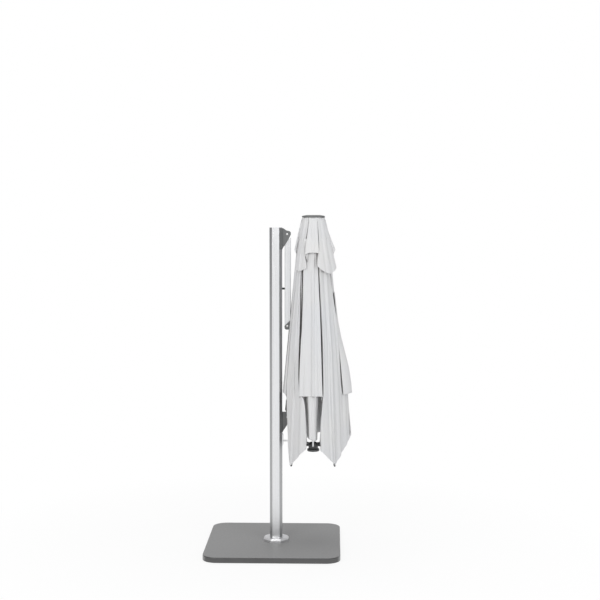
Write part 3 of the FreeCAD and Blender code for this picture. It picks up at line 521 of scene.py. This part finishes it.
class HalfGore:
    """One half of a gore's cloth, from its rib to the middle plane; `across` is unsigned."""

    def __init__(self, rib, side, cloth):
        self.rib, self.side, self.cloth = rib, side, cloth
        self.width = cloth.widths[rib][side > 0]

    def panel_across(self, step, down):
        start = 0 * down
        if self.rib == SLIT_RIB and self.cloth is MAIN:
            start = np.interp(down, (0.755, 0.775), (0.0, 0.029))
        return start + step * np.maximum(self.width(down) - start, MIN_PANEL)

    def hem_down(self, step):
        """How far down a panel column ends, so that the open hem runs true."""
        down = self.cloth.hem_guess
        for _ in range(60):
            angle = math.atan2(float(self.panel_across(step, down)), down - PIVOT)
            radius = float(self.cloth.hem(self.rib, angle))
            down = 0.5 * down + 0.5 * (PIVOT + radius * math.cos(angle))
        return down

    def rows(self, end):
        """Even rows, then three close ones for the hem."""
        top, band = self.cloth.top, self.cloth.hem_band
        steps = np.linspace(0, 1, self.cloth.row_steps + 1)
        hem = [end - band * 0.92, end - band * 0.04, end]
        return np.concatenate([top + steps * (end - top - band), hem])

    def panel_column(self, step):
        down = self.rows(self.hem_down(step))
        across = self.panel_across(step, down)
        waves = ripple(self.rib, self.side, across, down, self.cloth.ripple(down))
        out = (self.cloth.panel_out(self.rib, down, across)
               + waves * np.minimum(1, across / 0.02))
        out = out + creases(self.cloth, self.rib, self.side, across, down)
        return down, across, out, np.zeros_like(down), np.zeros_like(down)

    def fold(self, step, down):
        """Behind the panel's edge: back, inwards, then out to meet the next gore's cloth."""
        edge = np.maximum(self.width(down), MIN_PANEL)
        edge_out = self.cloth.panel_out(self.rib, down, edge)
        middle_out, turn_out = self.cloth.fold_outs(down, edge_out)
        middle = half_gap(down, middle_out)
        back = np.minimum(0.016, 0.45 * (edge_out - middle_out))
        inner = np.maximum(np.minimum(edge - 0.010, 0.86 * middle), MIN_INNER)
        # (across, out) at each knot
        stations = [(edge, edge_out), (edge + 0.0012, edge_out - 0.35 * back),
                    (np.maximum(edge - 0.005, MIN_INNER), edge_out - back),
                    (inner, turn_out), (middle, middle_out)]
        knots = np.array([0.0, 0.12, 0.26, 0.66, 1.0])
        k = min(int(np.searchsorted(knots, step, side="right")) - 1, 3)
        t = (step - knots[k]) / (knots[k + 1] - knots[k])
        if k == 2:
            t = t * t * (3 - 2 * t)
        return [a * (1 - t) + b * t for a, b in zip(stations[k], stations[k + 1])]

    def fold_column(self, step, edge_end, edge_angle, middle_angle):
        angle = edge_angle + step * (middle_angle - edge_angle)
        radius = float(self.cloth.hem(self.rib, angle))
        end = edge_end
        for _ in range(30):
            across = float(self.fold(step, end)[0])
            end = PIVOT + math.sqrt(max(radius * radius - across * across, 1e-6))
        down = self.rows(end)
        across, out = self.fold(step, down)
        middle_across, middle_out = self.fold(1.0, down)
        from_pivot = down - PIVOT
        open_middle = open_middle_angle(
            np.hypot(np.maximum(from_pivot, 0.03), middle_across), middle_out)
        edge = np.arctan2(self.panel_across(1.0, down), np.maximum(from_pivot, 0.02))
        open_edge = np.minimum(edge, EDGE_SHARE * open_middle)
        open_angle = open_edge + step * (open_middle - open_edge)
        # at the crown the cloth is gathered in the hinge ring and hardly turns
        ease = np.clip((down - 0.02) / 0.06, 0, 1)
        turn = ease * (open_angle - np.arctan2(across, from_pivot)) / SPREAD
        return down, across, out, turn, np.full_like(down, step)

    def build(self):
        """Returns (down, across, out) points, turn weights and the tuck behind the panel."""
        edge_end = self.hem_down(1.0)
        middle = MIDDLE_ANGLE
        for _ in range(8):
            middle = float(open_middle_angle(float(self.cloth.hem(self.rib, middle)), -0.02))
        edge = math.atan2(float(self.panel_across(1.0, edge_end)), edge_end - PIVOT)
        edge = min(edge, EDGE_SHARE * middle)
        columns = [self.panel_column(c) for c in np.linspace(0, 1, self.cloth.panel_steps + 1)]
        columns += [self.fold_column(c, edge_end, edge, middle)
                    for c in np.linspace(0, 1, self.cloth.fold_steps + 1)[1:]]
        grid = np.stack([np.stack(column, -1) for column in columns], 1)
        return grid[..., :3], grid[..., 3], grid[..., 4]


# ---------------------------------------------------------------- cloth meshes
# A grid of cloth, rows down and columns across. `turn` is the share of the gore's spread,
# `tuck` runs from 0 on the panel to 1 at the middle plane, `local` is (down, across, out).
Sheet = namedtuple("Sheet", "points turn tuck uv local flip", defaults=(None, False))


def add_mesh(name, points, faces):
    mesh = bpy.data.meshes.new(name)
    mesh.from_pydata(points, [], faces)
    obj = bpy.data.objects.new(name, mesh)
    bpy.context.scene.collection.objects.link(obj)
    return obj


def shade_smooth(mesh):
    mesh.polygons.foreach_set("use_smooth", np.ones(len(mesh.polygons), bool))


def grid_quads(rows, columns):
    return [(a * columns + b, a * columns + b + 1, (a + 1) * columns + b + 1,
             (a + 1) * columns + b) for a in range(rows - 1) for b in range(columns - 1)]


def add_cloth_physics(obj):
    modifier = obj.modifiers.new("cloth", "CLOTH")
    cloth = modifier.settings
    cloth.quality = 6
    cloth.mass = 0.28
    cloth.air_damping = 2.5
    cloth.tension_stiffness = cloth.compression_stiffness = cloth.shear_stiffness = 30
    cloth.tension_damping = cloth.compression_damping = cloth.shear_damping = 12
    cloth.bending_stiffness = 0.35
    cloth.bending_damping = 2.0
    cloth.vertex_group_mass = "hold"
    modifier.collision_settings.use_collision = False
    modifier.collision_settings.use_self_collision = False
    modifier.point_cache.frame_start = 1
    modifier.point_cache.frame_end = SIM_FRAMES


SIM_FRAMES = 22


def settle(name, sheet, rib, sag):
    """Settles a sheet under its own weight, held at the rib, top row and middle planes."""
    points, local = sheet.points, sheet.local
    obj = add_mesh("%s_sim" % name, points.reshape(-1, 3).tolist(),
                   grid_quads(*points.shape[:2]))
    on_rib = np.abs(local[..., 1]) < (0.041 if rib == SLIT_RIB else 0.008)
    held = (sheet.tuck > 0.985) | on_rib
    held[0] = True
    hold = obj.vertex_groups.new(name="hold")
    hold.add(np.nonzero(held.reshape(-1))[0].tolist(), 1.0, "REPLACE")
    add_cloth_physics(obj)
    scene = bpy.context.scene
    for number in range(1, SIM_FRAMES + 1):
        scene.frame_set(number)
    vertices = obj.evaluated_get(bpy.context.evaluated_depsgraph_get()).data.vertices
    settled = np.zeros(len(vertices) * 3)
    vertices.foreach_get("co", settled)
    move = settled.reshape(points.shape) - points
    size = np.linalg.norm(move, axis=2, keepdims=True)
    move *= np.minimum(1.0, sag / np.maximum(size, 1e-9))
    move[held] = 0
    scene.frame_set(1)
    bpy.data.objects.remove(obj)
    # correct the turn so that the folds still open to the same place
    axes = RibAxes(rib)
    moved = points + move
    down = (moved - axes.hinge) @ axes.down
    across = (moved - axes.hinge) @ axes.across
    old = np.arctan2(local[..., 1], local[..., 0] - PIVOT)
    new = np.arctan2(across, down - PIVOT)
    change = np.where(down > 0.06, (old - new) / SPREAD, 0) * (sheet.tuck > 0)
    return sheet._replace(points=moved, turn=sheet.turn + change)


def cloth_mesh(sheets, name):
    """Makes each sheet a closed thin shell with a thicker hem; returns the object and turns."""
    verts, faces, turns, tucks, uvs = [], [], [], [], []
    for sheet in sheets:
        points = sheet.points
        rows, columns = points.shape[:2]
        normal = np.cross(np.gradient(points, axis=1), np.gradient(points, axis=0))
        normal /= np.maximum(np.linalg.norm(normal, axis=2, keepdims=True), 1e-9)
        if sheet.flip:
            normal = -normal
        thick = np.full((rows, columns, 1), CLOTH_THICK)
        thick[-3:-1] += 0.0011
        thick[-1] += 0.0009
        base, layer = len(verts), rows * columns
        verts += (points + normal * (thick - CLOTH_THICK * 0.5)).reshape(-1, 3).tolist()
        verts += (points - normal * CLOTH_THICK * 0.5).reshape(-1, 3).tolist()
        turns += sheet.turn.reshape(-1).tolist() * 2
        tucks += sheet.tuck.reshape(-1).tolist() * 2
        uvs += sheet.uv.reshape(-1, 2).tolist() * 2
        shell = []
        for quad in grid_quads(rows, columns):
            shell.append([base + v for v in quad])
            shell.append([base + layer + quad[k] for k in (0, 3, 2, 1)])
        ids = base + np.arange(layer).reshape(rows, columns)
        rim = np.concatenate([ids[:, 0], ids[-1, 1:], ids[-2::-1, -1], ids[0, -2:0:-1]]).tolist()
        for here, there in zip(rim, rim[1:] + rim[:1]):
            shell.append([here, there, there + layer, here + layer])
        faces += [face if sheet.flip else face[::-1] for face in shell]
    obj = add_mesh(name, verts, faces)
    mesh = obj.data
    mesh.update()
    uv_layer = mesh.uv_layers.new(name="cloth")
    for loop in mesh.loops:
        uv_layer.data[loop.index].uv = uvs[loop.vertex_index]
    inside = mesh.attributes.new("inside", "FLOAT", "POINT")
    inside.data.foreach_set("value", np.array(tucks, np.float32))
    shade_smooth(mesh)
    work = bmesh.new()
    work.from_mesh(mesh)
    bmesh.ops.recalc_face_normals(work, faces=work.faces)
    work.to_mesh(mesh)
    work.free()
    obj["w"] = 0  # a custom property every cloth piece carries
    mesh.materials.append(MATS["cloth"])
    return obj, np.array(turns, np.float32)


def canopy_piece(rib, cloth):
    """A rib's cloth, whole or (the main cloth on the slit rib) as two sheets."""
    axes = RibAxes(rib)
    halves = {}
    for side in (-1, 1):
        local, turn, tuck = HalfGore(rib, side, cloth).build()
        local[..., 1] *= side
        points = axes.point(local[..., 0], local[..., 1], local[..., 2])
        uv = np.stack([local[..., 1] + rib, local[..., 0]], -1)
        halves[side] = Sheet(points, turn * side, tuck, uv, local)
    if rib == SLIT_RIB and cloth is MAIN:
        sheets = [halves[1], halves[-1]._replace(flip=True)]
    else:
        sheets = [Sheet(*(np.concatenate([minus[:, :0:-1], plus], 1)
                          for minus, plus in zip(halves[-1][:5], halves[1][:5])))]
    name = cloth.name % rib
    sheets = [settle(name, sheet, rib, cloth.sag) for sheet in sheets]
    obj, turns = cloth_mesh(sheets, name)
    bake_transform(obj)
    return obj


for rib in range(1, 9):
    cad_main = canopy_piece(rib, MAIN)
    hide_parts("canopy_gore_%d" % rib)
    canopy_piece(rib, VENT)


def steps_grid(rows, columns):
    """Steps 0..1 down and -1..1 across."""
    return np.meshgrid(np.linspace(0, 1, rows), np.linspace(-1, 1, columns), indexing="ij")


def rib_sheet(name, rib, down, across, out, uv_shift=0.0):
    """A single sheet that rides on a rib."""
    points = RibAxes(rib).point(down, across, out)
    uv = np.stack([across + rib + uv_shift, down], -1)
    still = np.zeros_like(down)
    obj, _ = cloth_mesh([Sheet(points, still, still, uv)], name)
    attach(obj, "rib_%d" % rib)
    return obj


def inner_fold(rib, minus_width, plus_width, bottom, point, top=1.34):
    """Gathered cloth behind a middle panel's hem; it is drawn up as the canopy opens.

    `point` is the step across at which its hem hangs lowest.
    """
    v, u = steps_grid(30, 33)
    down = top + v * (bottom - top) - 0.022 * v ** 6 * np.abs(u - point) ** 1.6
    taper = np.interp(v, (0, 0.25, 0.55, 1), (1.0, 0.92, 0.78, 0.70))
    across = np.where(u < 0, u * minus_width, u * plus_width) * taper + point * 0.010 * v
    out = (0.010 - 0.050 * np.abs(u) ** 3 - 0.006 * np.sin(5.2 * u + 1.3 + 1.1 * v)
           - 0.0035 * np.sin(11.0 * u - 0.9 * v))
    obj = rib_sheet("inner_fold_%d" % rib, rib, down, across, out)
    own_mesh(obj)


inner_fold(7, minus_width=0.068, plus_width=0.050, bottom=1.875, point=0.25)
inner_fold(3, minus_width=0.130, plus_width=0.130, bottom=1.90, point=-0.1)


def outer_pleat(rib, top, bottom):
    """Slack cloth bellying out over a side panel."""
    v, u = steps_grid(44, 31)
    down = top + v * (bottom - top) + 0.004 * u ** 2
    across = u * 0.76 * half_gap(down, 0.03)
    rise = np.interp(down, (0.60, 0.87, 1.0, 1.14, 1.28, 1.41, 1.50),
                     (0.0, 0.007, 0.019, 0.041, 0.063, 0.070, 0.070))
    belly = 1 - np.abs(u) ** 2.4
    waves = ripple(rib, 1, across, down, height=0.0022)
    out = 0.0335 - 0.9 * across * across + rise * belly + waves * belly
    obj = rib_sheet("side_pleat_%d" % rib, rib, down, across, out, uv_shift=0.3)
    axes = RibAxes(rib)
    tuple(axes.point(1.2, out=0.036))
    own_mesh(obj)


outer_pleat(1, top=0.62, bottom=SIDE_HEM + 0.014)

# ---------------------------------------------------------------- rib end caps
# (radius, distance along the rib) of a cap
CAP_PROFILE = [(0.002, -0.034), (0.0080, -0.032), (0.0098, -0.024), (0.0098, -0.010),
               (0.0085, -0.004), (0.005, 0.001), (0.001, 0.003)]
CAP_SEGMENTS = 28
CAP_PAST_TIP, CAP_OUT = 0.019, 0.018
SLIT_CAP_ACROSS = 0.034  # the slit rib has a cap this far to each side


def turned_piece(name, profile, origin, axis, material, segments):
    """A closed turned piece: (radius, height) points about an axis."""
    z = Vector(axis).normalized()
    x = z.orthogonal().normalized()
    y = z.cross(x)
    points, faces = [], []
    for radius, height in profile:
        for k in range(segments):
            angle = 2 * math.pi * k / segments
            spoke = x * math.cos(angle) + y * math.sin(angle)
            points.append(Vector(origin) + z * height + spoke * radius)
    last = (len(profile) - 1) * segments
    for ring in range(0, last, segments):
        for k in range(segments):
            after = (k + 1) % segments
            faces.append((ring + k, ring + after, ring + segments + after, ring + segments + k))
    faces.append(tuple(reversed(range(segments))))
    faces.append(tuple(last + k for k in range(segments)))
    obj = add_mesh(name, points, faces)
    shade_smooth(obj.data)
    obj.data.materials.append(material)
    return obj


def rib_caps(rib):
    """The black end cap, or pair of caps, at a rib's tip."""
    axes = RibAxes(rib)
    length, droop = (CORNER_RIB, DROOP) if is_corner(rib) else (SIDE_RIB, 0)
    places = [SLIT_CAP_ACROSS, -SLIT_CAP_ACROSS] if rib == SLIT_RIB else [0.0]
    for k, across in enumerate(places):
        origin = axes.point(length + CAP_PAST_TIP, across, CAP_OUT - droop)
        cap = turned_piece("rib_cap_%d_%d" % (rib, k), CAP_PROFILE, tuple(origin),
                           tuple(axes.down), MATS["black_plastic"], CAP_SEGMENTS)
        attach(cap, "rib_%d" % rib)


for rib in range(1, 9):
    rib_caps(rib)

# ---------------------------------------------------------------- stage, light and camera
FLOOR_HALF = 30


def floor_material():
    """A pale floor that fades into plain white away from the middle."""
    m = Mat("pale_floor")
    cloud = m.remap(m.noise(scale=2.0, detail=2.0))
    m.set(Base_Color=m.mix(cloud, (0.88, 0.88, 0.88), (0.90, 0.90, 0.90)), Roughness=0.8,
          Specular_IOR_Level=0.1)
    glow = m.node("ShaderNodeEmission", {"Strength": 1.0})
    distance = m.node("ShaderNodeVectorMath", {0: m.place.outputs["Object"]},
                      operation="LENGTH").outputs["Value"]
    m.mix_shader(m.remap(distance, to=(0.87, 1.0), over=(0.9, 3.0)), glow.outputs[0])
    return m.material


def add_floor():
    corners = [(x * FLOOR_HALF, y * FLOOR_HALF, 0)
               for x, y in ((-1, -1), (1, -1), (1, 1), (-1, 1))]
    floor = add_mesh("floor", corners, [(0, 1, 2, 3)])
    floor.data.materials.append(floor_material())


def add_world():
    """White to the camera; to everything else a dimmer room with grey cards towards +-X."""
    world = bpy.data.worlds.new("studio")
    bpy.context.scene.world = world
    w = Nodes(world, "ShaderNodeOutputWorld")
    seen = w.node("ShaderNodeBackground", {"Color": (1, 1, 1, 1), "Strength": 1.0})
    room = w.node("ShaderNodeBackground", {"Strength": 0.55})
    direction = w.node("ShaderNodeTexCoord").outputs["Generated"]
    split = w.node("ShaderNodeSeparateXYZ", {0: direction})
    sideways = w.math("ABSOLUTE", split.outputs["X"])
    cards = w.node("ShaderNodeValToRGB", {0: sideways})
    stops = ((0.55, (1.0, 1.0, 1.01, 1)), (0.92, (0.42, 0.42, 0.42, 1)))
    for element, (position, colour) in zip(cards.color_ramp.elements, stops):
        element.position = position
        element.color = colour
    w.put(room.inputs["Color"], cards.outputs[0])
    to_camera = w.node("ShaderNodeLightPath").outputs["Is Camera Ray"]
    inputs = {0: to_camera, 1: room.outputs[0], 2: seen.outputs[0]}
    w.put(w.output.inputs[0], w.node("ShaderNodeMixShader", inputs).outputs[0])


def area_light(name, place, target, size, power, colour=(1, 1, 1)):
    light = bpy.data.lights.new(name, "AREA")
    light.shape = "RECTANGLE"
    light.size, light.size_y = size
    light.energy = power
    light.color = colour
    obj = bpy.data.objects.new(name, light)
    bpy.context.scene.collection.objects.link(obj)
    obj.location = place
    aim = Vector(target) - Vector(place)
    obj.rotation_euler = aim.to_track_quat("-Z", "Y").to_euler()


def add_camera():
    camera = bpy.data.cameras.new("camera")
    camera.sensor_width = 36.0
    camera.lens = 73.701
    obj = bpy.data.objects.new("camera", camera)
    bpy.context.scene.collection.objects.link(obj)
    obj.location = (0.4932, -10.5897, 2.9435)
    obj.rotation_mode = "XYZ"
    # level, looking along +Y, then tipped down and turned a little left
    obj.rotation_euler = (math.radians(90) - 0.0739, 0, 0.0269)
    bpy.context.scene.camera = obj


add_floor()
add_world()
area_light("key", place=(-2.6, -6.0, 4.6), target=(0.1, 0, 1.5), size=(3.0, 3.0), power=150,
           colour=(1.0, 0.99, 0.975))
area_light("fill", place=(4.2, -5.0, 2.8), target=(0.2, 0, 1.5), size=(2.4, 3.4), power=90,
           colour=(0.96, 0.98, 1.0))
area_light("top", place=(0.2, 0.6, 6.5), target=(0.1, 0, 0), size=(4.5, 4.5), power=120)
add_camera()
bpy.context.scene.view_settings.view_transform = "Standard"
